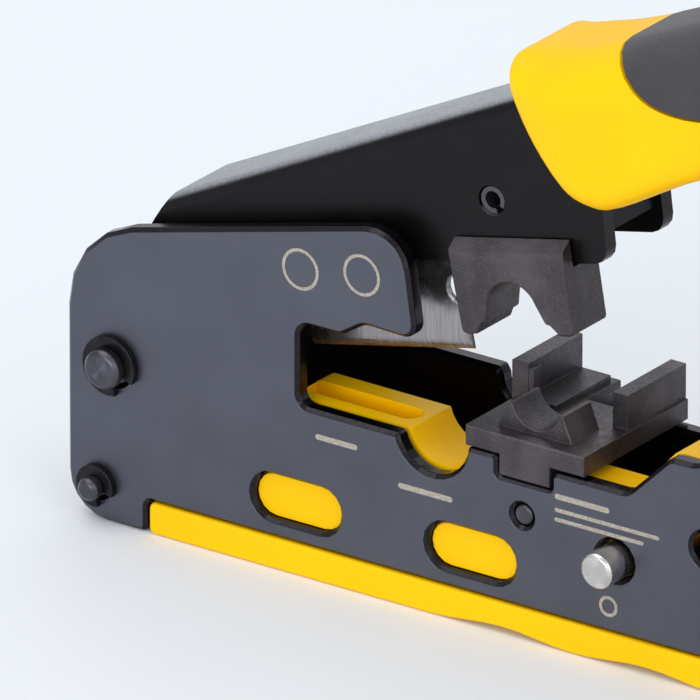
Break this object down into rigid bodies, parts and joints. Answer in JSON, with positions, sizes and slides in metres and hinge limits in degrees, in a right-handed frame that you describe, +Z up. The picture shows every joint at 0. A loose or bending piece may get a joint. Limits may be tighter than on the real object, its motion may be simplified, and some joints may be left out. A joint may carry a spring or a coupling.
{
  "type": "crimping tool",
  "caption": "Hand crimping tool for network plugs: steel side plates with a plastic grip and a sprung steel lever that carries a cable blade, a clip die and a plug punch",
  "frame": {"origin": "middle of the flat stretch of the sole, on the mid-plane; the pivot axis is 25 mm towards the nose and 20.3 mm above", "axes": "+X from the nose towards the grips, +Y from the front plate to the rear plate, +Z up from the sole"},
  "size_m": [0.1976, 0.028, 0.0917],
  "materials": {
    "plate_steel": "satin dark oxide",
    "lever_steel": "satin black oxide",
    "die_steel": "fine pitted sintered steel",
    "pin_steel": "oiled black oxide",
    "bright_steel": "ground bright",
    "yellow_plastic": "smooth satin gloss",
    "grey_pad": "matt soft moulding"
  },
  "bodies": {
    "frame": {"front_plate": "plate_steel", "rear_plate": "plate_steel", "pivot_pin": "pin_steel", "nose_pin": "pin_steel", "pivot_clip_front": "pin_steel", "nose_clip_front": "pin_steel", "pivot_clip_rear": "pin_steel", "nose_clip_rear": "pin_steel", "pivot_washer_front": "bright_steel", "pivot_washer_rear": "bright_steel", "nose_spacer": "pin_steel", "lower_sole": "yellow_plastic", "lower_shell_front": "yellow_plastic", "lower_shell_rear": "yellow_plastic", "lower_grip_pad": "grey_pad", "lower_clip_die": "die_steel", "lower_die_pin": "pin_steel", "plug_nest": "die_steel", "frame_rivet_1": "pin_steel", "frame_rivet_2": "pin_steel", "frame_rivet_3": "pin_steel", "lock_pin_spring": "bright_steel"},
    "lever": {"lever_channel": "lever_steel", "return_spring": "pin_steel", "cable_blade": "bright_steel", "blade_holder": "die_steel", "blade_screw_1": "pin_steel", "blade_screw_2": "pin_steel", "upper_clip_die": "die_steel", "die_roll_pin": "pin_steel", "plug_punch": "die_steel", "trim_blade": "bright_steel", "trim_screw_1": "pin_steel", "trim_screw_2": "pin_steel", "upper_grip": "yellow_plastic", "upper_grip_pad": "grey_pad", "handle_pin_1": "pin_steel", "handle_pin_2": "pin_steel"},
    "lock": {"lock_pin": "bright_steel", "lock_pin_collar": "pin_steel"}
  },
  "joints": [
    {"name": "lever_hinge", "type": "hinge", "parent": "frame", "child": "lever", "pos_m": [-0.025, 0, 0.0203], "axis": [0, 1, 0], "range_deg": [0, 10.8], "stiffness_Nm_per_rad": 0.8, "springref_deg": -28.65, "deforming": ["return_spring"]},
    {"name": "lock_slide", "type": "slide", "parent": "frame", "child": "lock", "axis": [0, 1, 0], "range_m": [0, 0.003], "stiffness_N_per_m": 300, "springref_m": -0.004, "deforming": ["lock_pin_spring"]}
  ]
}
